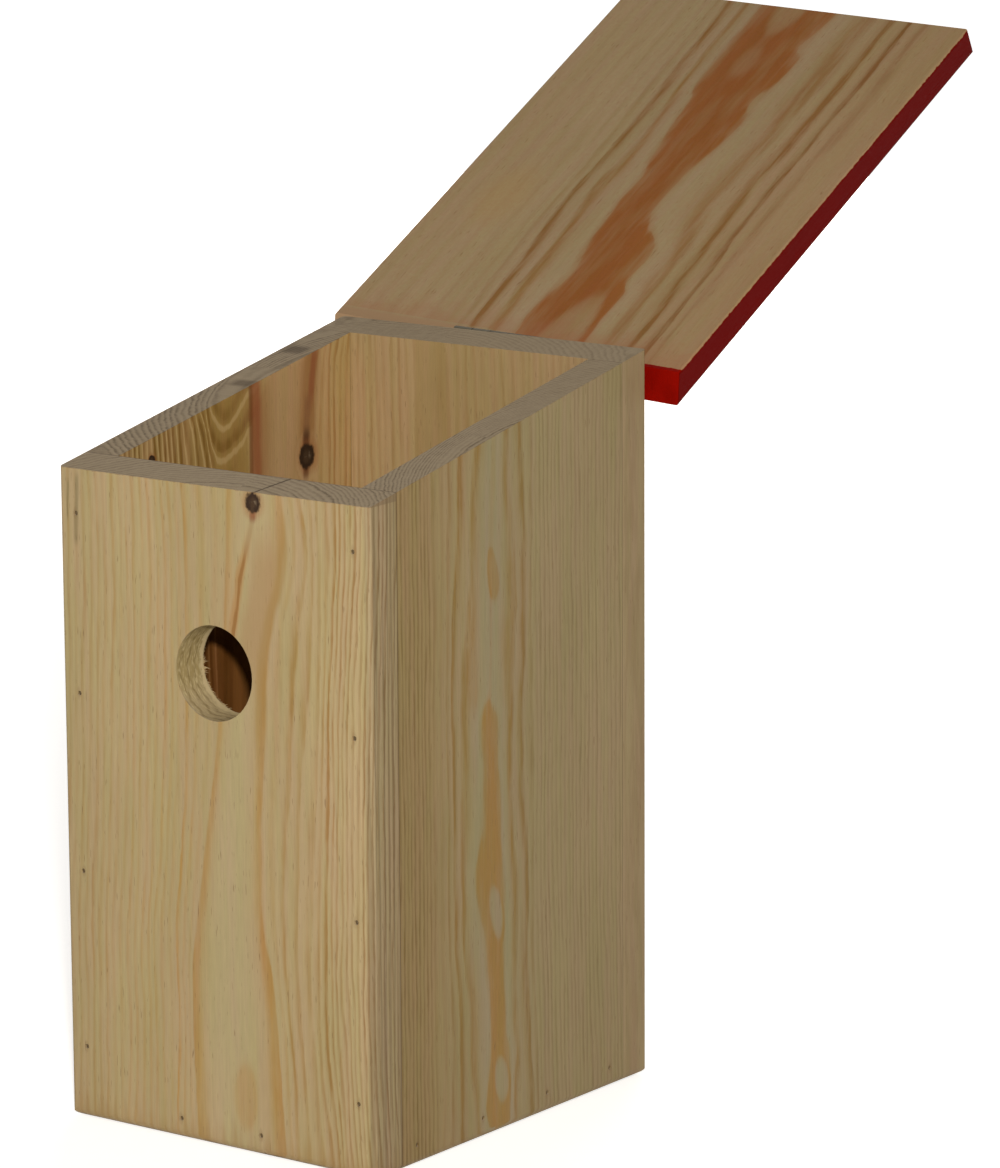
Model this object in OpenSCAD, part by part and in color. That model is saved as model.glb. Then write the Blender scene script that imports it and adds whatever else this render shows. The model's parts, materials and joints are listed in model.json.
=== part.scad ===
// Bird nest box: five pine boards nailed into a box, and a roof board on one small butt hinge.
// Millimetres. X is the width, +Y the back, +Z up. The origin is the centre of the box's footprint.
// The roof is drawn open against its stop, where the low screw heads of the two leaves meet.

/* [Box] */
// Width across the front board
box_w = 130; // [110:1:180]
// Depth from the front board's face to the back board's face
box_d = 153; // [135:1:200]
// Height of the front board at its outer face
front_h = 223; // [190:1:280]
// Fall of the roof towards the front, in degrees
roof_slope = 11.4; // [6:0.1:18]
// Thickness of the five box boards
board_t = 14; // [12:0.5:18]
// Radius worn on the bottom edges of the box
foot_r = 3; // [1:0.5:5]
// Radius of the upright outer edges of the front and back boards
edge_r = 1.5; // [0.5:0.25:3]

/* [Entrance] */
// Diameter of the entrance hole
hole_d = 32; // [25:1:45]
// Centre of the hole below the top edge of the front board
hole_drop = 62; // [45:1:80]

/* [Floor] */
// Diameter of the four drain holes
drain_d = 6; // [4:1:10]
// Centre of a drain hole from the two nearest edges of the floor
drain_inset = 18; // [12:1:25]

/* [Fixing holes] */
// Diameter of the two holes that hang the box
fix_d = 5; // [4:0.5:7]
// Height of the lower hole
fix_low = 60; // [40:1:80]
// Distance between the two holes
fix_pitch = 120; // [90:1:130]

/* [Roof] */
// Thickness of the roof board
roof_t = 10; // [9.5:0.5:14]
// Overhang past each side, where the roof is centred
roof_side = 9; // [3:1:25]
// Middle of the roof to the right of the middle of the box
roof_shift = 2; // [-3:0.5:3]
// Overhang past the front, along the slope
roof_front = 46; // [10:1:80]
// Lean of the closed roof's back end, away from the box, in degrees: it stands upright when the roof is open
roof_end_lean = 18.4; // [0:0.2:24]
// Radius of the roof's edges
roof_r = 1; // [0.5:0.25:2]
// Gap under the closed roof
roof_gap = 0.2; // [0.1:0.05:0.5]

/* [Hinge] */
// Length of the hinge along its pin
hinge_l = 38; // [32:1:50]
// Middle of the hinge to the right of the middle of the box
hinge_x = 2; // [-10:1:10]
// Slant of the hinge on the back, right end low, in degrees
hinge_tilt = 1.4; // [0:0.1:2]
// Distance of the pin below the joint between box and roof
pin_drop = 2; // [1.8:0.1:2.7]
// Width of a leaf from the pin's axis to its free edge
leaf_w = 11; // [10.5:0.25:11.5]
// Thickness of the sheet that the leaves are rolled from
leaf_t = 1; // [0.8:0.1:1.2]
// Corner radius of a leaf
leaf_r = 1.2; // [0.5:0.1:2]
// Diameter of the pin
pin_d = 2; // [1.6:0.1:2.2]
// Diameter of the peened ends of the pin
pin_head_d = 3; // [2.6:0.1:3.4]
// Height of a peened end
pin_head_h = 0.6; // [0.4:0.1:1]
// Number of knuckles, an odd number
knuckles = 5; // [3:2:7]
// Running clearance around the pin
pin_play = 0.05; // [0.02:0.01:0.1]
// Gap between two knuckles, and between a knuckle and the other leaf
knuckle_play = 0.25; // [0.15:0.05:0.4]
// Gap between the knuckles and the back board
knuckle_lift = 0.1; // [0.05:0.05:0.2]
// Open seam where the rolled sheet comes round to its own leaf
seam = 0.2; // [0.1:0.05:0.3]

/* [Hinge screws] */
// Diameter of the shank
screw_d = 2.6; // [2:0.1:3]
// Length under the head
screw_l = 9; // [7:0.5:9]
// Length of the point
screw_point = 2.5; // [1:0.5:4]
// Diameter of the low round head
head_d = 5; // [4.6:0.1:5.6]
// Height of the head: at 1.1 the leaves stop where they are parallel
head_h = 1.1; // [0.9:0.05:1.3]
// Width of the cross recess in the head
recess_w = 0.7; // [0.4:0.1:1]
// Length of the cross recess
recess_l = 2.8; // [2:0.1:3.2]
// Depth of the cross recess
recess_depth = 0.6; // [0.4:0.1:0.7]
// Distance between the two screws of a leaf
screw_pitch = 24; // [18:1:24]
// Distance of the screws from the pin's axis
screw_off = 6.7; // [6.5:0.1:7.5]
// Clearance of the screw in its leaf, on the diameter
leaf_hole_play = 0.4; // [0.2:0.1:0.8]
// Gap left between two heads at the stop
stop_gap = 0.1; // [0.05:0.05:0.3]

/* [Brads] */
// Diameter of a brad
brad_d = 1.2; // [1:0.1:1.8]
// Length of a brad
brad_l = 30; // [24:1:34]
// Diameter of its head
brad_head_d = 1.6; // [1.5:0.1:2.4]
// Height of its head
brad_head_h = 0.8; // [0.4:0.1:1.2]
// Length of its point
brad_point = 2; // [1:0.5:3]
// Depth of the head below the face of the wood
brad_sink = 0.6; // [0.2:0.1:1]
// Brads in each upright joint
wall_brads = 4; // [3:1:6]
// Height of the lowest brad in an upright joint
wall_brad_low = 25; // [20:1:32]
// Highest brad in an upright joint below the top of the front board
wall_brad_top = 15; // [10:1:30]
// Brads from each side board into the floor
side_brads = 4; // [2:1:5]
// First and last of them from the outer faces of the front and back boards
side_brad_end = 22; // [20:1:24]
// Distance between the two brads from the front or the back board into the floor
floor_brad_pitch = 34; // [20:1:60]

/* [Hidden] */

$fn = 72;
// How far a cutting shape runs past the surface that it opens
over = 1;
PINE = "burlywood";
ZINC = "silver";
PAINT = "firebrick";
NAIL = "dimgray";

half_w = box_w / 2;
half_d = box_d / 2;
back_h = front_h + box_d * tan(roof_slope);
inner_w = box_w - 2 * board_t;
inner_d = box_d - 2 * board_t;
// The middle of a side board's thickness, where the brads of the upright joints run
wall_mid = half_w - board_t / 2;

roof_w = box_w + 2 * roof_side;
roof_l = box_d / cos(roof_slope) + roof_front;

knuckle_in = pin_d / 2 + pin_play;
knuckle_out = knuckle_in + leaf_t;
// The pin's axis stands this far behind the wood
pin_off = knuckle_out + knuckle_lift;
knuckle_l = hinge_l / knuckles;
pin_at = [hinge_x, half_d + pin_off, back_h - pin_drop];

// A low round head is a cap of a ball of this radius, whose centre lies this far inside the pin's plane.
// The roof stops when the caps of the two leaves meet on the plane half way between the leaves.
head_ball = (head_d * head_d / 4 + head_h * head_h) / (2 * head_h);
ball_depth = pin_off - leaf_t - head_h + head_ball;
ball_reach = sqrt(screw_off * screw_off + ball_depth * ball_depth);
stop_half = asin((head_ball + stop_gap / 2) / ball_reach) - atan(ball_depth / screw_off);
roof_open = 180 - roof_end_lean - 2 * stop_half;

wall_brad_step = (front_h - wall_brad_top - wall_brad_low) / (wall_brads - 1);
wall_brad_heights = [for (i = [0:wall_brads - 1]) wall_brad_low + i * wall_brad_step];
side_brad_step = (box_d - 2 * side_brad_end) / (side_brads - 1);
side_brad_places = [for (i = [0:side_brads - 1]) side_brad_end - half_d + i * side_brad_step];

// A rectangle around the origin with round corners
module rounded_rect(w, h, r) {
    square([w - 2 * r, h], center = true);
    square([w, h - 2 * r], center = true);
    for (sx = [-1, 1], sy = [-1, 1])
        translate([sx * (w / 2 - r), sy * (h / 2 - r)]) circle(r);
}

// The shape drawn inside it, w wide, with its two bottom corners worn round
module worn_foot(w, r) {
    difference() {
        children();
        for (s = [-1, 1])
            translate([s * w / 2, 0]) square(2 * r, center = true);
    }
    for (s = [-1, 1])
        translate([s * (w / 2 - r), r]) circle(r);
}

module side_outline() {
    worn_foot(box_d, foot_r)
        polygon([[-half_d, 0], [half_d, 0], [half_d, back_h], [-half_d, front_h]]);
}

module front_outline() {
    worn_foot(box_w, foot_r)
        translate([-half_w, 0]) square([box_w, back_h]);
}

// The whole box as one block: the boards are cut out of it, so the slope and the worn edges run through
module box_block() {
    intersection() {
        rotate([90, 0, 90]) linear_extrude(box_w + 2 * over, center = true) side_outline();
        rotate([90, 0, 0]) linear_extrude(box_d + 2 * over, center = true) front_outline();
        linear_extrude(back_h + over) rounded_rect(box_w, box_d, edge_r);
    }
}

// One board of the box, between two corners in plan
module upright_board(low, high) {
    intersection() {
        box_block();
        translate([low[0], low[1], -over]) cube([high[0] - low[0], high[1] - low[1], back_h + 2 * over]);
    }
}

// Places on the outer faces, with +Z pointing out of the wood
module at_front(x, z) { translate([x, -half_d, z]) rotate([90, 0, 0]) children(); }
module at_back(x, z) { translate([x, half_d, z]) rotate([-90, 0, 0]) children(); }
module at_left(y, z) { translate([-half_w, y, z]) rotate([0, -90, 0]) children(); }
module at_right(y, z) { translate([half_w, y, z]) rotate([0, 90, 0]) children(); }

// The rows of brads: each row joins one board to one other
module front_row(side) { for (z = wall_brad_heights) at_front(side * wall_mid, z) children(); }
module back_row(side) { for (z = wall_brad_heights) at_back(side * wall_mid, z) children(); }
module front_floor_row() { for (s = [-1, 1]) at_front(s * floor_brad_pitch / 2, board_t / 2) children(); }
module back_floor_row() { for (s = [-1, 1]) at_back(s * floor_brad_pitch / 2, board_t / 2) children(); }
module left_floor_row() { for (y = side_brad_places) at_left(y, board_t / 2) children(); }
module right_floor_row() { for (y = side_brad_places) at_right(y, board_t / 2) children(); }

// A brad driven down -Z from the face of the wood, with its head sunk
module brad() {
    translate([0, 0, -brad_sink - brad_head_h]) cylinder(d = brad_head_d, h = brad_head_h);
    translate([0, 0, -brad_sink - brad_l + brad_point]) cylinder(d = brad_d, h = brad_l - brad_point - brad_head_h);
    translate([0, 0, -brad_sink - brad_l]) cylinder(d1 = 0.4 * brad_d, d2 = brad_d, h = brad_point);
}

// The hole that the brad and its punch leave
module brad_hole() {
    brad();
    translate([0, 0, -brad_sink]) cylinder(d = brad_head_d, h = brad_sink + over);
}

module front_board() {
    color(PINE) difference() {
        upright_board([-half_w, -half_d], [half_w, -half_d + board_t]);
        at_front(0, front_h - hole_drop)
            translate([0, 0, -board_t - over]) cylinder(d = hole_d, h = board_t + 2 * over);
        for (side = [-1, 1]) front_row(side) brad_hole();
        front_floor_row() brad_hole();
    }
}

module back_board() {
    color(PINE) difference() {
        upright_board([-half_w, half_d - board_t], [half_w, half_d]);
        for (z = [fix_low, fix_low + fix_pitch])
            at_back(0, z) translate([0, 0, -board_t - over]) cylinder(d = fix_d, h = board_t + 2 * over);
        for (side = [-1, 1]) back_row(side) brad_hole();
        back_floor_row() brad_hole();
        hinge_frame() leaf_screws(-1) screw_hole();
    }
}

// The left side is side -1, the right side 1
module side_board(side) {
    difference() {
        upright_board([side < 0 ? -half_w : half_w - board_t, -half_d + board_t],
                      [side < 0 ? -half_w + board_t : half_w, half_d - board_t]);
        front_row(side) brad_hole();
        back_row(side) brad_hole();
        if (side < 0) left_floor_row() brad_hole();
        if (side > 0) right_floor_row() brad_hole();
    }
}

module left_side() { color(PINE) side_board(-1); }
module right_side() { color(PINE) side_board(1); }

module floor_board() {
    color(PINE) difference() {
        translate([-inner_w / 2, -inner_d / 2, 0]) cube([inner_w, inner_d, board_t]);
        for (sx = [-1, 1], sy = [-1, 1])
            translate([sx * (inner_w / 2 - drain_inset), sy * (inner_d / 2 - drain_inset), -over])
                cylinder(d = drain_d, h = board_t + 2 * over);
        front_floor_row() brad_hole();
        back_floor_row() brad_hole();
        left_floor_row() brad_hole();
        right_floor_row() brad_hole();
    }
}

// The hinge's own frame: X along the pin, +Y away from the back board, +Z up the closed hinge
module hinge_frame() { translate(pin_at) rotate([0, hinge_tilt, 0]) children(); }

// What lies on the leaning back end of the closed roof, in the hinge's frame
module roof_end_frame() { hinge_frame() rotate([-roof_end_lean, 0, 0]) children(); }

// Turns what is drawn on the closed roof about the pin, to where the heads meet
module opened() {
    hinge_frame() rotate([-roof_open, 0, 0]) rotate([0, -hinge_tilt, 0]) translate(-pin_at) children();
}

// The closed roof board. Its back end is sawn in the plane that the hinge's leaf lies in.
module closed_roof() {
    intersection() {
        translate([roof_shift, half_d, back_h + roof_gap]) rotate([roof_slope, 0, 0]) intersection() {
            translate([0, -roof_l, roof_t / 2]) rotate([-90, 0, 0])
                linear_extrude(roof_l + 2 * roof_t) rounded_rect(roof_w, roof_t, roof_r);
            translate([0, roof_t - roof_l / 2, 0])
                linear_extrude(roof_t) rounded_rect(roof_w, roof_l + 2 * roof_t, roof_r);
        }
        roof_end_frame() translate([-roof_w, -pin_off - 2 * roof_l, -roof_l]) cube([2 * roof_w, 2 * roof_l, 2 * roof_l]);
    }
}

module roof_board() {
    color(PAINT) opened() difference() {
        closed_roof();
        roof_end_frame() leaf_screws(1) screw_hole();
    }
}

// Knuckle number i along the pin
function knuckle_x(i) = -hinge_l / 2 + i * knuckle_l;

// The rolled section of a leaf that hangs down -Y in the plane: the eye, and the strip that runs into the leaf
module rolled_section() {
    difference() {
        union() {
            circle(knuckle_out);
            translate([-pin_off, -knuckle_out - knuckle_play]) square([leaf_t, knuckle_out + knuckle_play]);
        }
        circle(knuckle_in);
        translate([-pin_off + leaf_t, -2 * knuckle_out]) square([seam, 2 * knuckle_out]);
    }
}

// A leaf below the pin in the hinge's frame; first is the number of its first knuckle
module leaf(first) {
    for (i = [first:2:knuckles - 1])
        translate([knuckle_x(i) + (i > 0 ? knuckle_play / 2 : 0), 0, 0])
            rotate([90, 0, 90])
                linear_extrude(knuckle_l - (i > 0 ? knuckle_play / 2 : 0) - (i < knuckles - 1 ? knuckle_play / 2 : 0))
                    rolled_section();
    plate_top = -knuckle_out - knuckle_play;
    difference() {
        translate([0, -pin_off, 0]) rotate([-90, 0, 0]) linear_extrude(leaf_t) difference() {
            union() {
                translate([0, -plate_top + (leaf_w + plate_top) / 2])
                    rounded_rect(hinge_l, leaf_w + plate_top, leaf_r);
                translate([-hinge_l / 2, -plate_top]) square([hinge_l, leaf_r]);
            }
            for (s = [-1, 1])
                translate([s * screw_pitch / 2, screw_off]) circle(d = screw_d + leaf_hole_play);
        }
    }
}

// The other leaf: above the pin where the roof is closed
module mirrored_leaf(first) { mirror([0, 0, 1]) leaf(first); }

module hinge_leaf_back() { color(ZINC) hinge_frame() leaf(0); }
module hinge_leaf_roof() { color(ZINC) opened() roof_end_frame() mirrored_leaf(1); }

module hinge_pin() {
    color(ZINC) hinge_frame() rotate([0, 90, 0]) {
        cylinder(d = pin_d, h = hinge_l, center = true);
        for (s = [0, 1]) mirror([0, 0, s]) translate([0, 0, hinge_l / 2]) pin_head();
    }
}

module pin_head() {
    ball = (pin_head_d * pin_head_d / 4 + pin_head_h * pin_head_h) / (2 * pin_head_h);
    rotate_extrude() intersection() {
        translate([0, pin_head_h - ball]) circle(ball);
        square([pin_head_d / 2, pin_head_h]);
    }
}

// Places the two screws of a leaf on its outer face, with +Z out of the head; side -1 is below the pin
module leaf_screws(side) {
    for (s = [-1, 1])
        translate([s * screw_pitch / 2, leaf_t - pin_off, side * screw_off]) rotate([-90, 0, 0]) children();
}

module screw_shank(d) {
    translate([0, 0, -screw_l + screw_point]) cylinder(d = d, h = screw_l - screw_point);
    translate([0, 0, -screw_l]) cylinder(d1 = 0.3 * d, d2 = d, h = screw_point);
}

module screw_hole() {
    screw_shank(screw_d);
    cylinder(d = screw_d, h = over);
}

module round_head_screw() {
    screw_shank(screw_d);
    difference() {
        rotate_extrude() intersection() {
            translate([0, head_h - head_ball]) circle(head_ball);
            square([head_d / 2, head_h]);
        }
        for (a = [0, 90])
            rotate([0, 0, a]) translate([0, 0, head_h]) cube([recess_l, recess_w, 2 * recess_depth], center = true);
    }
}

module hinge_screws_back() { color(ZINC) hinge_frame() leaf_screws(-1) round_head_screw(); }
module hinge_screws_roof() { color(ZINC) opened() roof_end_frame() leaf_screws(1) round_head_screw(); }

module wall_brads_front_left() { color(NAIL) front_row(-1) brad(); }
module wall_brads_front_right() { color(NAIL) front_row(1) brad(); }
module wall_brads_back_left() { color(NAIL) back_row(-1) brad(); }
module wall_brads_back_right() { color(NAIL) back_row(1) brad(); }
module floor_brads_front() { color(NAIL) front_floor_row() brad(); }
module floor_brads_back() { color(NAIL) back_floor_row() brad(); }
module floor_brads_left() { color(NAIL) left_floor_row() brad(); }
module floor_brads_right() { color(NAIL) right_floor_row() brad(); }

front_board();
back_board();
left_side();
right_side();
floor_board();
roof_board();
hinge_leaf_back();
hinge_leaf_roof();
hinge_pin();
hinge_screws_back();
hinge_screws_roof();
wall_brads_front_left();
wall_brads_front_right();
wall_brads_back_left();
wall_brads_back_right();
floor_brads_front();
floor_brads_back();
floor_brads_left();
floor_brads_right();
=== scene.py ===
import json
import math
import bpy
from mathutils import Euler, Matrix, Vector


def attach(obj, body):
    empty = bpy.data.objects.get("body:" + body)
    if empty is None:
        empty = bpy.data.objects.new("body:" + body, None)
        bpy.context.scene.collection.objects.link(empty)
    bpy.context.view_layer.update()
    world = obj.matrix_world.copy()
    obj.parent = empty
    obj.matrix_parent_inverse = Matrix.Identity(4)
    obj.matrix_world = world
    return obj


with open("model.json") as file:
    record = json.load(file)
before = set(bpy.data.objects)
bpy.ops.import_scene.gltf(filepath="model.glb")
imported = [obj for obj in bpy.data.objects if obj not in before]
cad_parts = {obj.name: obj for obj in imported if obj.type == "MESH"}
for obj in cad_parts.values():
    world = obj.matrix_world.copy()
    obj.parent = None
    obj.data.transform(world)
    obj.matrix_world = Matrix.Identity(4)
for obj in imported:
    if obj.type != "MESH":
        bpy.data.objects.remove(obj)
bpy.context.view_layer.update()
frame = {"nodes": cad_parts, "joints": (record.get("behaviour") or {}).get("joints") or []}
parts = frame["nodes"]


# The camera
# It stands where the photograph was taken: 1.9 m away, right of the entrance and a little above the box.
# It has a long lens, level from left to right within half a degree, with no shift and no depth of field.
view_right = Vector((0.80389, 0.59475, -0.00563))
view_up = Vector((-0.11420, 0.16364, 0.97989))
view_back = Vector((0.58370, -0.78708, 0.19947))
view_from = Vector((1.1293, -1.4423, 0.5505))
film_wide = 36.0
focal_length_in_film_widths = 5.55416
lens = bpy.data.cameras.new("camera")
lens.sensor_fit = "HORIZONTAL"
lens.sensor_width = film_wide
lens.lens = film_wide * focal_length_in_film_widths
lens.clip_end = 30.0
camera = bpy.data.objects.new("camera", lens)
turned = Matrix((view_right, view_up, view_back)).transposed().to_4x4()
camera.matrix_world = Matrix.Translation(view_from) @ turned
bpy.context.scene.collection.objects.link(camera)
bpy.context.scene.camera = camera
bpy.context.scene.view_settings.view_transform = "Standard"


# The table and the light
# A pale table top and a pale room, which the camera sees as white paper with the box's own soft shadow.
# A small flash beside the camera, a window behind and a soft room light; none belongs to the nest box.
# The table glows only where it is looked at, and less near the box, so that the shadow at its foot stays.
FACE_NORMAL = 1
OBJECT_PLACE = 3


def tone(red, green, blue):
    """A colour as a picture shows it, from 0 to 255, in the linear values that a shader takes."""
    shares = [max(value, 0.0) / 255.0 for value in (red, green, blue)]
    return tuple(s / 12.92 if s < 0.04 else ((s + 0.055) / 1.055) ** 2.4 for s in shares) + (1.0,)


class Finish:
    """A material on the bench: every call adds a node and hands back its output."""

    def __init__(self, name, tree=None):
        if tree is None:
            self.material = bpy.data.materials.new(name)
            self.material.use_nodes = True
            tree = self.material.node_tree
            self.shader = tree.nodes["Principled BSDF"]
        self.tree = tree

    def feed(self, socket, value):
        """Joins an output to a socket, or sets the socket to a plain value."""
        if isinstance(value, bpy.types.NodeSocket):
            self.tree.links.new(value, socket)
        elif value is not None:
            socket.default_value = value

    def put(self, kind, *values, out=0, **settings):
        """Adds a node, with its settings and its first sockets."""
        node = self.tree.nodes.new("ShaderNode" + kind)
        for name, setting in settings.items():
            setattr(node, name, setting)
        for socket, value in zip(node.inputs, values):
            self.feed(socket, value)
        return node.outputs[out]

    def sum(self, operation, *values, clamp=False):
        """Plain arithmetic."""
        return self.put("Math", *values, operation=operation, use_clamp=clamp)

    def aim(self, operation, *values, out=0):
        """Arithmetic on places and directions."""
        return self.put("VectorMath", *values, operation=operation, out=out)

    def mix(self, share, first, second, way="MIX"):
        """One colour over another."""
        node = self.tree.nodes.new("ShaderNodeMix")
        node.data_type = "RGBA"
        node.blend_type = way
        self.feed(node.inputs[0], share)
        self.feed(node.inputs[6], first)
        self.feed(node.inputs[7], second)
        return node.outputs[2]

    def tint(self, colour, by):
        """A colour multiplied by another."""
        return self.mix(1.0, colour, by, "MULTIPLY")

    def ease(self, value, start, end, first=0.0, last=1.0):
        """A soft step from first to last while the value goes from start to end."""
        node = self.tree.nodes.new("ShaderNodeMapRange")
        node.interpolation_type = "SMOOTHSTEP"
        for socket, setting in zip(node.inputs, (value, start, end, first, last)):
            self.feed(socket, setting)
        return node.outputs[0]

    def set(self, **values):
        """Sets or joins the shader's own sockets by name."""
        for name, value in values.items():
            self.feed(self.shader.inputs[name.replace("_", " ")], value)

    def wear(self, part):
        """Puts the finish on a CAD part."""
        part.data.materials.clear()
        part.data.materials.append(self.material)


def seen_straight(finish):
    """1 where the camera looks straight, or by a mirror or glass, at the backdrop."""
    path = finish.tree.nodes.new("ShaderNodeLightPath").outputs
    seen = finish.sum("MAXIMUM", path["Is Camera Ray"], path["Is Glossy Ray"])
    return finish.sum("MAXIMUM", seen, path["Is Transmission Ray"])


room = bpy.data.worlds.new("room")
bpy.context.scene.world = room
room.use_nodes = True
air = Finish("room", room.node_tree)
white = (1.0, 1.0, 1.0, 1.0)
soft_light = air.put("Background", tone(255, 251, 244), 0.20)
white_wall = air.put("Background", white, 1.0)
air.feed(
    room.node_tree.nodes["World Output"].inputs[0],
    air.put("MixShader", seen_straight(air), soft_light, white_wall),
)

paper = Finish("table_top")
on_table = paper.put("TexCoord", out=OBJECT_PLACE)
fibre = paper.put("TexNoise", on_table)
fibre.node.inputs["Scale"].default_value = 160.0
fibre.node.inputs["Detail"].default_value = 4.0
paper_bump = paper.put("Bump", 0.15, 0.0004)
paper.feed(paper_bump.node.inputs["Height"], fibre)
paper.set(
    Base_Color=paper.mix(fibre, tone(232, 231, 228), tone(240, 239, 236)),
    Roughness=0.85,
    Normal=paper_bump,
)
far_away = paper.aim("LENGTH", on_table, out=1)
glow_near = 0.60
glow_far = 0.88
glow = paper.put("Emission", white, paper.ease(far_away, 0.3, 2.4, glow_near, glow_far))
glow = paper.put("MixShader", seen_straight(paper), paper.put("Emission", (0, 0, 0, 1), 0.0), glow)
paper.feed(
    paper.tree.nodes["Material Output"].inputs[0],
    paper.put("AddShader", paper.shader.outputs[0], glow),
)
table_reach = 6.0
table_height = -0.0002
sheet = bpy.data.meshes.new("table_top")
corners = [
    (side * table_reach, front * table_reach, table_height)
    for side, front in ((-1, -1), (1, -1), (1, 1), (-1, 1))
]
sheet.from_pydata(corners, [], [(0, 1, 2, 3)])
sheet.materials.append(paper.material)
table_top = bpy.data.objects.new("table_top", sheet)
bpy.context.scene.collection.objects.link(table_top)


def lamp(name, side, rise, distance, size, power, colour):
    """A round lamp that faces the box, side degrees right of the entrance and rise degrees up."""
    light = bpy.data.lights.new(name, "AREA")
    light.shape = "DISK"
    light.size = size
    light.energy = power
    light.color = colour[:3]
    side = math.radians(side)
    rise = math.radians(rise)
    out = Vector((math.sin(side) * math.cos(rise), -math.cos(side) * math.cos(rise), math.sin(rise)))
    middle_of_box = Vector((0.0, 0.0, 0.15))
    holder = bpy.data.objects.new(name, light)
    holder.location = middle_of_box + out * distance
    holder.rotation_euler = (-out).to_track_quat("-Z", "Y").to_euler()
    bpy.context.scene.collection.objects.link(holder)


lamp("flash", 38.8, 16.3, 1.85, 0.05, 27.8, tone(255, 252, 246))
lamp("window", 205.0, 10.0, 2.4, 1.3, 24.0, tone(255, 250, 242))


# The pine
# A board is a slice of a log: its year rings are laid out on its face and run on through its depth, so that
# a face, an edge and an end show the same log. Sizes are in mm, where Blender's own are in metres.
half_deep = 76.5
half_inside = 62.5
board_thick = 14.0
front_high = 223.0
roof_slope = math.radians(11.4)
roof_fall = math.tan(roof_slope)
mm_per_metre = 1000.0


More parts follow.
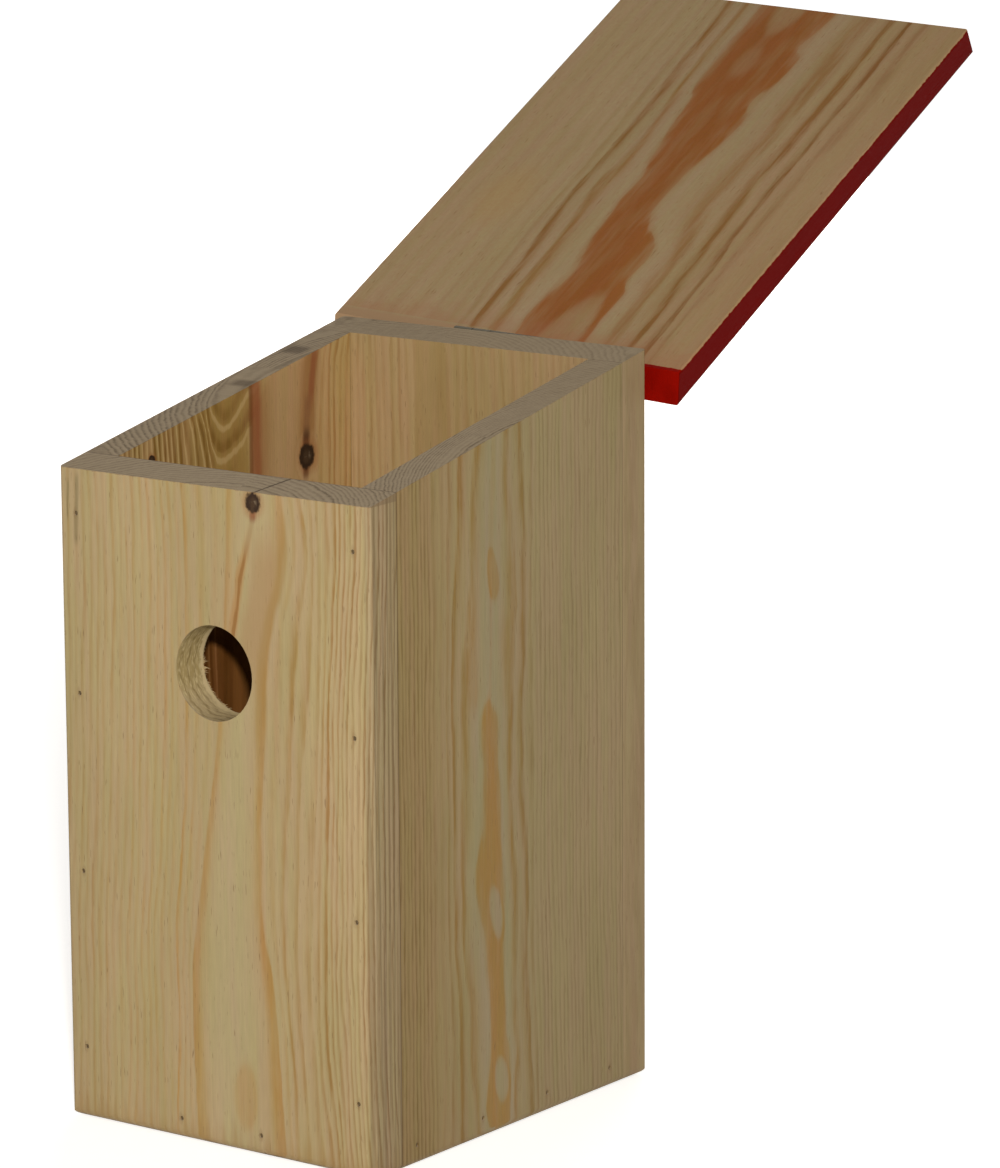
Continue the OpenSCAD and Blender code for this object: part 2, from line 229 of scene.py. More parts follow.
class Pine(Finish):
    """Planed pine. Board places are in mm: across the face, into its depth, and along the grain."""

    def __init__(self, name, origin, turn):
        super().__init__(name)
        place = self.put("TexCoord", out=OBJECT_PLACE)
        spot = [value / mm_per_metre for value in origin]
        scale = (1.0 / mm_per_metre,) * 3
        self.place = self.put("Mapping", place, spot, turn, scale, vector_type="TEXTURE")
        self.across, self.depth, self.along = self.put("SeparateXYZ", self.place).node.outputs
        facing = self.put("TexCoord", out=FACE_NORMAL)
        fibres = Euler(turn).to_matrix() @ Vector((0, 0, 1))
        self.cut_across = self.sum("ABSOLUTE", self.aim("DOT_PRODUCT", facing, fibres, out=1))

    def line(self, value, points):
        """A smooth curve through the points, read at the value."""
        points = sorted(points)
        node = self.tree.nodes.new("ShaderNodeFloatCurve")
        bend = node.mapping
        bend.use_clip = False
        bend.extend = "HORIZONTAL"
        curve = bend.curves[0]
        curve.points[0].location = points[0]
        curve.points[1].location = points[-1]
        for point in points[1:-1]:
            curve.points.new(*point)
        for point in curve.points:
            point.handle_type = "AUTO_CLAMPED"
        bend.update()
        self.feed(node.inputs["Value"], value)
        return node.outputs[0]

    def shades(self, value, stops):
        """A run of colours over the value."""
        low = stops[0][0]
        high = stops[-1][0]
        share = self.sum("DIVIDE", self.sum("SUBTRACT", value, low), high - low, clamp=True)
        ramp = self.put("ValToRGB", share)
        steps = ramp.node.color_ramp.elements
        for number, (where, colour) in enumerate(stops):
            step = steps[number] if number < 2 else steps.new(1.0)
            step.position = (where - low) / (high - low)
            step.color = tone(*colour)
        return ramp

    def noise(self, wide, deep, tall, seed=0.0, detail=2.0, rough=0.5):
        """Soft noise from 0 to 1 whose patches have this size in mm."""
        spot = self.aim("MULTIPLY", self.place, (1.0 / wide, 1.0 / deep, 1.0 / tall))
        cloud = self.put("TexNoise", self.aim("ADD", spot, (seed, seed * 1.7, -seed)))
        cloud.node.inputs["Scale"].default_value = 1.0
        cloud.node.inputs["Detail"].default_value = detail
        cloud.node.inputs["Roughness"].default_value = rough
        return cloud

    def sway(self, wide, deep, tall, seed, detail=2.0):
        """The same noise about zero, for a line that strays to both sides."""
        return self.sum("SUBTRACT", self.noise(wide, deep, tall, seed, detail), 0.5)

    def grey(self, value):
        """A grey of this strength."""
        return self.put("CombineColor", value, value, value)

    def reach(self, across, along, wide, tall, lean=0.0):
        """How far out from the middle of an oval: 1 on its rim."""
        local = self.put(
            "Mapping",
            self.bent,
            (across, 0.0, along),
            (0.0, math.radians(lean), 0.0),
            (wide, 1e6, tall),
            vector_type="TEXTURE",
        )
        return self.aim("LENGTH", local, out=1)

    def rings(self, heart, core, left, right, rim, pith, swells, jitter):
        """Counts the year rings from the heart line outwards, through guide lines on both sides.

        A guide is a number of rings and the line where they end, as places of height and across. The
        heart, the core's count and the rim of the first ring are such lines too. A swell is an oval
        that adds to the count: its middle, its half sizes, its lean and its height in rings.
        """
        heart_line = self.line(self.along, heart)
        offset = self.sum("SUBTRACT", self.across, sum(p[1] for p in heart) / len(heart))
        reach = self.sum("MULTIPLY", self.depth, self.sum("ADD", self.depth, 2.0 * pith))
        square = self.sum("MAXIMUM", self.sum("MULTIPLY_ADD", offset, offset, reach), 0.0)
        shift = self.sum("SUBTRACT", self.sum("SQRT", square), self.sum("ABSOLUTE", offset))
        shift = self.sum("MULTIPLY", shift, self.sum("SIGN", offset))
        across = self.sum("ADD", self.across, shift)
        for size, tall, seed, stray in (
            (14.0, 70.0, 3.1, 1.6),
            (2.2, 14.0, 8.3, 0.8),
            (5.0, 24.0, 1.3, 1.3),
            (0.5, 6.0, 4.9, 0.7),
        ):
            across = self.sum("MULTIPLY_ADD", self.sway(size, size, tall, seed), stray, across)
        self.bent = self.put("CombineXYZ", across, 0.0, self.along)
        first = self.line(self.along, core)
        brim = self.line(self.along, rim)
        count = first
        sides = []
        for guides in (left, right):
            inner = heart_line
            signed = 0.0
            for number, (rings, points) in enumerate(guides):
                outer = self.line(self.along, points)
                gone = self.sum("SUBTRACT", across, inner)
                share = self.sum("DIVIDE", gone, self.sum("SUBTRACT", outer, inner), clamp=True)
                worth = rings
                if number == 0:
                    share = self.sum("MULTIPLY", share, share)
                    worth = self.sum("SUBTRACT", brim, first)
                if number == 1:
                    worth = self.sum("SUBTRACT", rings + 1.0, brim)
                count = self.sum("MULTIPLY_ADD", share, worth, count)
                signed = self.sum("MULTIPLY_ADD", share, float(rings), signed)
                inner = outer
            sides.append(signed)
        self.signed = self.sum("SUBTRACT", sides[1], sides[0])
        for where, along, wide, tall, lean, height in swells:
            hump = self.ease(self.reach(where, along, wide, tall, lean), 0.5, 1.35, height, 0.0)
            count = self.sum("ADD", count, hump)
        drift = self.sway(9.0, 9.0, 55.0, 5.7)
        outside = self.sum("MULTIPLY", self.sum("ABSOLUTE", self.signed), 0.5, clamp=True)
        drift = self.sum("MULTIPLY", drift, self.sum("MULTIPLY_ADD", outside, jitter, 0.12))
        return self.sum("ADD", count, drift)

    def face(self, count, strength, pale, late):
        """The planed face: pale early wood, darker late wood that stops sharply, fibres and resin flecks.

        The strength of the late wood and both colours run over the rings, counted from the heart, with
        those on the left below zero.
        """
        one_year = [
            (0.0, 0.5), (0.09, 0.24), (0.2, 0.05), (0.34, 0.1), (0.54, 0.34), (0.72, 0.85), (0.84, 1.0),
            (0.93, 0.9), (1.0, 0.5),
        ]
        dark = self.line(self.sum("FRACT", count), one_year)
        ring = self.put("TexWhiteNoise", None, self.sum("FLOOR", count), noise_dimensions="1D")
        vary = self.sum("MULTIPLY_ADD", ring, 0.6, 0.7)
        dark = self.sum("MULTIPLY", dark, self.sum("MULTIPLY", self.line(self.signed, strength), vary))
        cloudy = self.sum("MULTIPLY", dark, self.noise(3.0, 3.0, 45.0, 1.9))
        dark = self.sum("MULTIPLY_ADD", cloudy, 0.5, self.sum("MULTIPLY", dark, 0.75), clamp=True)
        away = self.ease(self.sum("ABSOLUTE", self.signed), 0.9, 2.2)
        broken = self.ease(self.noise(1.7, 1.7, 16.0, 5.1, 3.0), 0.32, 0.62, -0.42, 0.15)
        broken = self.sum("MULTIPLY_ADD", broken, self.sum("MULTIPLY_ADD", away, 0.7, 0.3), 1.0)
        patchy = self.ease(self.noise(6.0, 6.0, 24.0, 7.4, 3.0), 0.3, 0.65, 0.78, 1.08)
        self.dark = self.sum("MULTIPLY", dark, self.sum("MULTIPLY", broken, patchy), clamp=True)
        colour = self.mix(self.dark, self.shades(self.signed, pale), self.shades(self.signed, late))
        hue = self.ease(self.noise(4.5, 4.5, 60.0, 12.4), 0.3, 0.7)
        colour = self.tint(colour, self.mix(hue, (0.975, 1.012, 0.95, 1), (1.025, 0.988, 1.04, 1)))
        broad = self.ease(self.noise(30.0, 30.0, 130.0, 6.2), 0.25, 0.75)
        colour = self.tint(colour, self.mix(broad, (0.955, 0.955, 0.93, 1), (1.04, 1.035, 1.05, 1)))
        self.hair = self.noise(0.42, 0.42, 26.0, 2.2, 3.0, 0.62)
        grit = self.noise(1.0, 1.0, 8.0, 6.6, 3.0)
        shade = self.sum("MULTIPLY_ADD", grit, 0.16, self.sum("MULTIPLY_ADD", self.hair, 0.24, 0.80))
        colour = self.tint(colour, self.grey(shade))
        fleck = self.ease(self.noise(0.5, 0.5, 5.5, 9.9, 1.0), 0.67, 0.77, 0.0, 0.55)
        return self.mix(fleck, colour, tone(118, 92, 60))

    def streak(self, colour, run, width, start, end, shade, share, fade=6.0):
        """A soft streak along the grain: its line, half width, lower and upper end, colour and share."""
        off = self.sum("SUBTRACT", self.put("SeparateXYZ", self.bent), self.line(self.along, run))
        near = self.ease(self.sum("ABSOLUTE", off), width * 0.25, width, share, 0.0)
        near = self.sum("MULTIPLY", near, self.ease(self.along, start - fade, start + fade))
        near = self.sum("MULTIPLY", near, self.ease(self.along, end - fade, end + fade, 1.0, 0.0))
        return self.mix(near, colour, tone(*shade))

    def knot(self, colour, across, along, wide, tall):
        """A dark knot whose middle is painted grey on its right as a painted highlight, with a black rim
        and reddish wood round it.
        """
        grain = self.sway(1.1, 1.1, 1.5, 4.4, 3.0)
        out = self.sum("MULTIPLY_ADD", grain, 0.5, self.reach(across, along, wide, tall))
        colour = self.mix(self.ease(out, 0.85, 2.1, 0.45, 0.0), colour, tone(150, 92, 52))
        # The right side of the middle is painted grey: a painted highlight.
        right_half = self.sum("MULTIPLY", self.sum("SUBTRACT", self.across, across), 0.06)
        painted_highlight = self.ease(self.sum("ADD", grain, right_half), 0.08, 0.26)
        middle = self.mix(painted_highlight, tone(66, 48, 32), tone(126, 108, 86))
        heartwood = self.mix(self.ease(out, 0.25, 0.75), middle, tone(48, 32, 20))
        return self.mix(self.ease(out, 0.85, 1.2, 1.0, 0.0), colour, heartwood)

    def sawn_end(self, colour, marks=()):
        """Sawn end grain: greyer and rougher, with the rings' arcs and the saw's marks.

        A mark is a dark line or patch: where it crosses the board, how it leans over the depth, its half
        width and share, and the middle and half size of its reach in depth.
        """
        saw = self.noise(0.9, 14.0, 14.0, 7.7, 2.0)
        pores = self.noise(0.35, 0.35, 0.35, 3.3, 2.0)
        late = self.sum("MULTIPLY", self.dark, 0.8, clamp=True)
        grain = self.mix(late, tone(170, 152, 126), tone(106, 88, 64))
        for where, lean, half, share, deep, thick in marks:
            off = self.sum("SUBTRACT", self.sum("MULTIPLY_ADD", self.depth, -lean, self.across), where)
            off = self.sum("ABSOLUTE", self.sum("MULTIPLY_ADD", self.sum("SUBTRACT", saw, 0.5), 1.2, off))
            stain = self.ease(off, half * 0.3, half, share, 0.0)
            inside = self.sum("ABSOLUTE", self.sum("SUBTRACT", self.depth, deep))
            stain = self.sum("MULTIPLY", stain, self.ease(inside, thick * 0.3, thick, 1.0, 0.0))
            grain = self.mix(stain, grain, tone(70, 54, 38))
        shade = self.sum("MULTIPLY_ADD", pores, 0.26, 0.76)
        shade = self.sum("ADD", self.sum("MULTIPLY", saw, 0.22), shade)
        self.sawn = self.ease(self.cut_across, 0.45, 0.8)
        self.saw = self.sum("ADD", saw, pores)
        return self.mix(self.sawn, colour, self.tint(grain, self.grey(shade)))

    def torn_edge(self, colour, rise=0.0, start=0.0):
        """The planed face's upper edge, where the saw broke the wood out in small scallops."""
        top = self.sum("MULTIPLY_ADD", self.sum("SUBTRACT", self.across, start), rise, front_high)
        ripple = self.sum("MULTIPLY", self.noise(1.1, 30.0, 30.0, 2.7, 3.0), 1.6)
        below = self.sum("ADD", self.sum("SUBTRACT", top, self.along), self.sum("SUBTRACT", ripple, 0.45))
        return self.mix(self.ease(below, 0.2, 0.6, 0.6, 0.0), colour, tone(128, 106, 78))

    def close(self, colour, value, place):
        """A thin dark line where this board meets another."""
        gap = self.sum("ABSOLUTE", self.sum("SUBTRACT", value, place))
        return self.mix(self.ease(gap, 0.0, 0.35, 0.7, 0.0), colour, tone(70, 50, 32))

    def nail_marks(self, colour, spots):
        """The brown stain round each sunk brad, longer up and down than across."""
        for across, along in spots:
            out = self.reach(across, along, 0.9, 2.4)
            colour = self.mix(self.ease(out, 0.6, 1.2, 0.22, 0.0), colour, tone(124, 94, 62))
        return colour

    def done(self, colour, part):
        """Joins everything to the shader and puts the finish on the CAD part."""
        planed = self.sum("MULTIPLY_ADD", self.dark, 0.35, self.sum("MULTIPLY", self.hair, 0.9))
        height = self.put("Mix", self.sawn)
        self.feed(height.node.inputs[2], planed)
        self.feed(height.node.inputs[3], self.saw)
        bump = self.put("Bump", 0.35, 0.00025)
        self.feed(bump.node.inputs["Height"], height)
        rough = self.sum("MULTIPLY_ADD", self.dark, -0.10, self.sum("MULTIPLY_ADD", self.hair, 0.16, 0.52))
        self.set(Base_Color=colour, Roughness=self.sum("MULTIPLY_ADD", self.sawn, 0.2, rough), Normal=bump)
        self.set(Specular_IOR_Level=0.14)
        self.wear(part)


# The front board
# One planed board, 14 mm thick, grain upright, with a knot near its top edge and a pale heart low down.
# The 32 mm entrance is bored from the front, and the board is nailed over the edges of the two sides.
one_ring = [(0.0, 1.0), (224.0, 1.0)]
end_board_nails = [(side, 25 + 61 * step) for side in (-58, 58) for step in range(4)] + [(-17, 7), (17, 7)]
front = Pine("front_pine", (0.0, -half_deep, 0.0), (0.0, 0.0, 0.0))
count = front.rings(
    heart=[(0, 9), (40, 6), (80, 5), (110, 6), (150, 10), (200, 15), (224, 19)],
    core=[(0, 0.16), (70, 0.16), (130, 0.30), (224, 0.30)],
    left=[
        (1, [(0, -9.4), (30, -10.6), (55, -11.4), (70, -10), (90, -6.4), (110, -3.6), (130, 0),
             (145, 2), (178, 4), (200, 5), (224, 6)]),
        (3, [(0, -19), (40, -18), (65, -18.4), (80, -17.4), (90, -16), (110, -14.6), (125, -13.4),
             (148, -12.6), (175, -11.8), (200, -11.5), (224, -12.6)]),
        (27, [(0, -102), (110, -99), (224, -95)]),
    ],
    right=[
        (1, [(0, 28), (10, 27), (30, 25.6), (45, 24.4), (60, 22.6), (75, 20.6), (90, 19.8), (130, 20),
             (150, 20.6), (165, 21.6), (175, 23.4), (185, 26), (190, 28.2), (200, 30.6), (210, 31),
             (224, 30)]),
        (2, [(0, 34), (10, 33.4), (30, 31.8), (45, 30.2), (60, 29), (75, 28.6), (95, 28.8), (110, 29.6),
             (130, 31), (150, 32.6), (165, 34), (180, 36), (195, 38.6), (205, 39.4), (224, 37.4)]),
        (2, [(0, 44), (10, 43), (30, 41), (50, 39), (65, 38.8), (85, 40), (100, 41), (130, 42),
             (150, 43), (170, 44), (190, 45), (224, 44)]),
        (2, [(0, 50), (30, 47), (60, 46), (100, 46.5), (130, 47), (160, 48), (175, 49.4), (190, 50.4),
             (205, 51.6), (224, 51.6)]),
        (25, [(0, 100), (110, 100), (224, 100)]),
    ],
    rim=one_ring,
    pith=45.0,
    swells=[(10.5, 19, 5.4, 13.5, 0, 0.68)],
    jitter=1.1,
)
colour = front.face(
    count,
    strength=[(-31, 0.55), (-6, 0.42), (-4.5, 0.4), (-4, 0.75), (-3.6, 0.5), (-2.5, 0.3), (-1.5, 0.35),
              (-0.95, 0.95), (-0.5, 0.4), (0, 0.45), (0.5, 0.4), (0.95, 0.92), (1.5, 0.45), (2.5, 0.45),
              (2.95, 0.7), (3.5, 0.5), (4.5, 0.55), (4.95, 0.75), (5.5, 0.5), (6.9, 0.85), (7.5, 0.65),
              (32, 0.9)],
    # The pale colour is a little lighter at 13 rings, by the right edge: a painted highlight along the
    # rounded corner.
    pale=[(-31, (168, 149, 111)), (-10, (172, 153, 114)), (-1, (170, 151, 113)), (0, (173, 156, 119)),
          (1, (172, 152, 115)), (5, (172, 152, 114)), (10, (174, 154, 115)), (13, (178, 158, 118)),
          (20, (170, 150, 110)), (32, (164, 146, 108))],
    late=[(-31, (146, 124, 86)), (-4, (168, 133, 80)), (-1, (164, 131, 80)), (0, (168, 128, 74)),
          (1, (163, 127, 74)), (3, (154, 124, 74)), (7, (150, 117, 71)), (14, (140, 110, 68)),
          (32, (126, 104, 66))],
)
warm_wood = [(155, 15), (170, 15.5), (180, 17.5), (190, 20.5), (200, 22), (212, 23.5)]
first_ring = [
    (150, 19.2), (165, 20), (175, 21.8), (185, 24.4), (190, 26.6), (200, 28.8), (210, 29.4), (218, 28.8),
]
under_the_knot = [(170, 7.5), (180, 9), (188, 10.6), (195, 11.6), (205, 14.5), (214, 17), (224, 19)]
its_core = [(170, 7.7), (180, 9.4), (188, 11.0), (195, 11.9), (205, 14.8), (214, 17.2)]
for streak in (
    (warm_wood, 9.0, 160, 208, (159, 128, 88), 0.62, 10.0),
    (first_ring, 3.4, 142, 212, (152, 122, 72), 0.55, 12.0),
    (under_the_knot, 2.6, 172, 206, (166, 120, 68), 0.62, 10.0),
    (its_core, 1.0, 168, 203, (140, 98, 52), 0.8, 4.0),
    ([(200, -58), (224, -57)], 1.4, 198, 221, (106, 98, 66), 0.45, 2.0),
    ([(200, -61.5), (224, -61)], 0.9, 206, 219, (100, 94, 64), 0.45, 2.0),
):
    colour = front.streak(colour, *streak)
foot = front.sum("MULTIPLY_ADD", front.noise(2.6, 2.6, 40.0, 2.4), 26.0, front.along)
colour = front.mix(front.ease(foot, 11.0, 23.0, 0.5, 0.0), colour, tone(150, 120, 76))
colour = front.torn_edge(colour)
colour = front.streak(colour, [(210, 17.2), (218, 17.6)], 2.0, 213.5, 218, (112, 44, 32), 0.75, 1.5)
colour = front.knot(colour, 17.6, 219.5, 2.9, 3.4)
colour = front.nail_marks(colour, end_board_nails)
hole_radius = 16.0
hole_high = 161.0
from_axis = front.aim("SUBTRACT", front.place, (0.0, 0.0, hole_high))
from_axis = front.aim("LENGTH", front.aim("MULTIPLY", from_axis, (1.0, 0.0, 1.0)), out=1)
bored = front.sum(
    "MULTIPLY",
    front.ease(from_axis, hole_radius + 0.15, hole_radius + 0.05),
    front.ease(front.depth, 0.25, 0.6),
)
wobble = front.sum("MULTIPLY_ADD", front.noise(7.0, 30.0, 7.0, 5.5, 3.0), 7.0, front.depth)
wobble = front.sum("SUBTRACT", wobble, 2.2)
bit_marks = [
    (0, 0.2), (1.6, 0.1), (3.0, 0.9), (3.9, 0.1), (5.8, 0.2), (6.8, 1.0), (7.9, 0.15), (9.6, 0.3),
    (10.4, 0.85), (11.2, 0.0), (13.0, 0.2), (16.6, 0.0),
]
groove = front.line(wobble, bit_marks)
knot_tail = [(198, 12.9), (206, 15.2), (212, 16.8), (218, 17.4)]
colour = front.streak(colour, knot_tail, 1.5, 203, 216, (140, 110, 74), 0.32, 3.0)
edge_face = front.ease(front.across, 61.5, 64.5)
colour = front.mix(edge_face, colour, front.tint(colour, (0.80, 0.80, 0.86, 1)))
edge_grain = front.ease(front.noise(400.0, 1.1, 150.0, 3.9, 1.0), 0.47, 0.62)
edge_grain = front.sum("MULTIPLY", edge_grain, front.sum("MULTIPLY", edge_face, 0.42))
colour = front.mix(edge_grain, colour, tone(104, 86, 60))
colour = front.sawn_end(colour, marks=[(17.9, 0.31, 0.7, 0.85, 7, 40)])
fuzz = front.sum("MULTIPLY_ADD", front.noise(0.6, 2.0, 0.6, 1.5, 3.0), 2.0, front.depth)
fuzz = front.ease(front.sum("MULTIPLY_ADD", front.noise(5.0, 5.0, 5.0, 4.2), 5.0, fuzz), 14.6, 15.6)
# Pale ragged patches on the bore: scraped wood, partly a painted highlight.
scraped_and_highlight = front.ease(front.noise(2.4, 0.5, 2.4, 8.8, 3.0), 0.45, 0.72)
low_down = front.ease(front.along, 148.0, 158.0, 1.0, 0.0)
bore_wood = front.mix(low_down, tone(164, 144, 98), tone(180, 160, 122))
bore_wood = front.mix(front.sum("MULTIPLY", groove, 0.7), bore_wood, tone(126, 106, 66))
bore_wood = front.mix(scraped_and_highlight, bore_wood, tone(194, 175, 132))
bore_wood = front.mix(fuzz, bore_wood, tone(200, 180, 138))
colour = front.mix(bored, colour, bore_wood)
colour = front.close(colour, front.depth, board_thick)
front.done(colour, parts["front_board"])


# The torn rim of the entrance
# The bit broke through the inner face and left pale fibres standing round the hole's inner rim.
# Each is a thin bent sliver of pine, still fast to the board, and they are thickest where the grain tore.
torn = Finish("torn_pine")
torn_place = torn.aim("DIVIDE", torn.put("TexCoord", out=OBJECT_PLACE), (0.0006, 0.0006, 0.002))
torn_cloud = torn.put("TexNoise", torn_place)
torn_cloud.node.inputs["Scale"].default_value = 1.0
torn_bump = torn.put("Bump", 0.3, 0.0001)
torn.feed(torn_bump.node.inputs["Height"], torn_cloud)
torn.set(
    Base_Color=torn.mix(torn_cloud, tone(158, 132, 92), tone(206, 184, 142)),
    Roughness=torn.sum("MULTIPLY_ADD", torn_cloud, 0.2, 0.6),
    Normal=torn_bump,
    Specular_IOR_Level=0.14,
)
rim_tree = bpy.data.node_groups.new("torn_rim", "GeometryNodeTree")
rim_sizes = {}
for label, kind, value in (
    ("Hole radius", "NodeSocketFloat", (hole_radius + 0.1) / mm_per_metre),
    ("Fibre length", "NodeSocketFloat", 0.0019),
    ("Fibre width", "NodeSocketFloat", 0.00022),
    ("Fibre bend", "NodeSocketFloat", 170.0),
    ("Fibres", "NodeSocketInt", 300),
    ("Pine", "NodeSocketMaterial", torn.material),
):
    socket = rim_tree.interface.new_socket(label, in_out="INPUT", socket_type=kind)
    rim_sizes[socket.identifier] = value
rim_tree.interface.new_socket("Fibres", in_out="OUTPUT", socket_type="NodeSocketGeometry")
given = rim_tree.nodes.new("NodeGroupInput").outputs


def cut(kind, joins, out=0, **settings):
    """Adds a node to the torn rim's tree, joined by socket name or number, and hands back an output."""
    node = rim_tree.nodes.new(kind)
    for name, setting in settings.items():
        setattr(node, name, setting)
    for name, value in joins.items():
        if isinstance(value, bpy.types.NodeSocket):
            rim_tree.links.new(value, node.inputs[name])
        else:
            node.inputs[name].default_value = value
    return node.outputs[out]


rim_line = cut("GeometryNodeCurvePrimitiveCircle", {"Resolution": 96, "Radius": given["Hole radius"]})
rim_points = cut("GeometryNodeCurveToPoints", {0: rim_line, "Count": given["Fibres"]})
sliver = cut(
    "GeometryNodeMeshCone",
    {"Vertices": 5, "Side Segments": 4, "Radius Top": 0.00002,
     "Radius Bottom": given["Fibre width"], "Depth": given["Fibre length"]},
)
spot = cut("GeometryNodeInputPosition", {})
height = cut("ShaderNodeSeparateXYZ", {0: spot}, out=2)
bend = cut("ShaderNodeMath", {0: height, 1: height}, operation="MULTIPLY")
bend = cut("ShaderNodeMath", {0: bend, 1: given["Fibre bend"]}, operation="MULTIPLY")
bend = cut("ShaderNodeCombineXYZ", {0: bend, 1: bend})
sliver = cut("GeometryNodeSetPosition", {0: sliver, "Offset": bend})
tear = cut("ShaderNodeTexNoise", {0: spot, "Scale": 140.0})
tear = cut("ShaderNodeMapRange", {0: tear, 1: 0.42, 2: 0.62, 3: 0.1, 4: 1.4})
low_side = cut("ShaderNodeVectorMath", {0: spot, 1: (-0.1, 1.0, 0.0)}, out=1, operation="DOT_PRODUCT")
low_side = cut("ShaderNodeMapRange", {0: low_side, 1: -0.004, 2: 0.014, 3: 0.35, 4: 1.3})
tear = cut("ShaderNodeMath", {0: tear, 1: low_side}, operation="MULTIPLY")
turn = cut(
    "FunctionNodeRandomValue",
    {0: (-1.3, -0.5, -0.6), 1: (1.3, 0.5, 0.6), "Seed": 7},
    data_type="FLOAT_VECTOR",
)
stretch = cut(
    "FunctionNodeRandomValue",
    {0: (0.5, 0.5, 0.3), 1: (1.4, 1.4, 1.2), "Seed": 3},
    data_type="FLOAT_VECTOR",
)
stretch = cut("ShaderNodeVectorMath", {0: stretch, "Scale": tear}, operation="SCALE")
fibres = cut(
    "GeometryNodeInstanceOnPoints",
    {0: rim_points, "Instance": sliver, "Rotation": turn, "Scale": stretch},
)
inner_rim = (0.0, -(half_inside + 0.1) / mm_per_metre, hole_high / mm_per_metre)
fibres = cut(
    "GeometryNodeTransform",
    {0: fibres, "Translation": inner_rim, "Rotation": (-math.pi / 2, 0.0, 0.0)},
)
fibres = cut("GeometryNodeRealizeInstances", {0: fibres})
fibres = cut("GeometryNodeSetMaterial", {0: fibres, "Material": given["Pine"]})
rim_tree.links.new(fibres, rim_tree.nodes.new("NodeGroupOutput").inputs[0])
torn_rim = bpy.data.objects.new("torn_rim", bpy.data.meshes.new("torn_rim"))
bpy.context.scene.collection.objects.link(torn_rim)
maker = torn_rim.modifiers.new("torn_rim", "NODES")
maker.node_group = rim_tree
for identifier, value in rim_sizes.items():
    maker[identifier] = value
grown = bpy.data.meshes.new_from_object(torn_rim.evaluated_get(bpy.context.evaluated_depsgraph_get()))
torn_rim.modifiers.remove(maker)
torn_rim.data = grown
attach(torn_rim, "box")


# The right side board
# A second pine board, butted behind the front board and in front of the back board.
# It was cut close to the heart, so one ring runs up its middle as an orange flame with pale islands.
side_board_nails = [(-54.5 + 36.33 * step, 7) for step in range(4)]
right = Pine("right_side_pine", (65.0, 0.0, 0.0), (0.0, 0.0, math.pi / 2))
count = right.rings(
    heart=[(0, -9), (30, -10), (60, -11), (90, -13), (120, -12), (140, -14), (153, -12.5), (200, -12),
           (254, -9)],
    core=[(0, 0.84), (125, 0.84), (135, 0.88), (147, 0.92), (153, 1.08), (254, 1.08)],
    left=[
        (1, [(0, -13), (10, -16), (20, -15), (35, -14.5), (50, -16), (65, -17), (75, -18), (85, -20.5),
             (92, -21), (100, -18), (110, -16.4), (120, -17), (129, -17.6), (133, -18.6), (140, -19.5),
             (147, -17.5), (150, -15), (153, -13.5), (200, -13), (254, -10)]),
        (1, [(0, -22), (10, -22.5), (25, -24), (45, -24), (60, -26.5), (70, -28.5), (85, -29), (95, -30),
             (110, -29), (130, -27.5), (150, -28), (170, -26.5), (195, -25), (215, -23), (235, -20),
             (254, -18)]),
        (1, [(0, -32), (30, -31), (50, -31), (60, -32), (70, -33.5), (90, -33.8), (120, -33.2), (150, -34),
             (175, -33.5), (195, -31.5), (215, -30.2), (254, -29.5)]),
        (3, [(0, -44), (254, -44)]),
        (22, [(0, -90), (254, -89)]),
    ],
    right=[
        (1, [(0, -3.5), (10, -3), (25, -2), (35, -5), (50, -5), (60, -4.5), (70, -4), (80, -4.5), (90, -6),
             (100, -7), (110, -7.4), (120, -8), (129, -9.2), (135, -9.2), (143, -9.5), (150, -12),
             (153, -11.5), (200, -11), (254, -8)]),
        (1, [(0, 1), (10, 0.5), (30, 2), (50, 1), (80, 1), (100, 0), (130, -1.5), (150, -1), (170, 0),
             (180, 2.5), (190, 2), (205, 0.5), (215, -2), (235, -3.5), (254, -4)]),
        (1, [(0, 11), (10, 10.5), (25, 8.5), (45, 8.5), (60, 7.5), (80, 8), (100, 7.5), (115, 5.6),
             (130, 5.7), (150, 6), (165, 7.5), (180, 8.5), (200, 8.5), (215, 7), (235, 5.5), (254, 5)]),
        (1, [(0, 14), (60, 11.5), (150, 11), (254, 11)]),
        (40, [(0, 102), (254, 102)]),
    ],
    rim=[(0, 1.0), (140, 1.0), (153, 1.12), (254, 1.12)],
    pith=60.0,
    swells=[(-10, 76, 3.6, 9.5, -12, -0.6), (-7.5, 18, 3.8, 8, -8, -0.6),
            (-10.5, 190, 4.0, 9.5, -14, -0.38)],
    jitter=1.1,
)
colour = right.face(
    count,
    strength=[(-28, 0.8), (-8, 0.75), (-6, 0.45), (-3.5, 0.5), (-2.95, 1.0), (-2.5, 0.55), (-1.95, 1.1),
              (-1.5, 0.5), (-0.9, 0.95), (0.9, 0.95), (1.5, 0.5), (1.95, 1.1), (2.5, 0.55), (2.95, 1.0),
              (3.5, 0.5), (4.5, 0.5), (44, 0.58)],
    pale=[(-28, (144, 122, 82)), (-7, (144, 123, 85)), (-2, (148, 131, 96)), (-1, (147, 135, 105)),
          (0, (147, 133, 103)), (1, (147, 135, 105)), (2, (149, 132, 100)), (5, (150, 133, 99)),
          (44, (148, 130, 96))],
    late=[(-28, (110, 88, 48)), (-7, (119, 96, 56)), (-2, (134, 105, 56)), (-0.9, (144, 115, 64)),
          (0, (146, 113, 62)), (0.9, (144, 115, 65)), (2, (133, 105, 56)), (5, (127, 108, 72)),
          (44, (123, 105, 71))],
)
colour = right.torn_edge(colour, roof_fall, -half_deep)
colour = right.sawn_end(colour)
colour = right.close(colour, right.across, -half_inside)
colour = right.close(colour, right.across, half_inside)
colour = right.nail_marks(colour, side_board_nails)
right.done(colour, parts["right_side"])
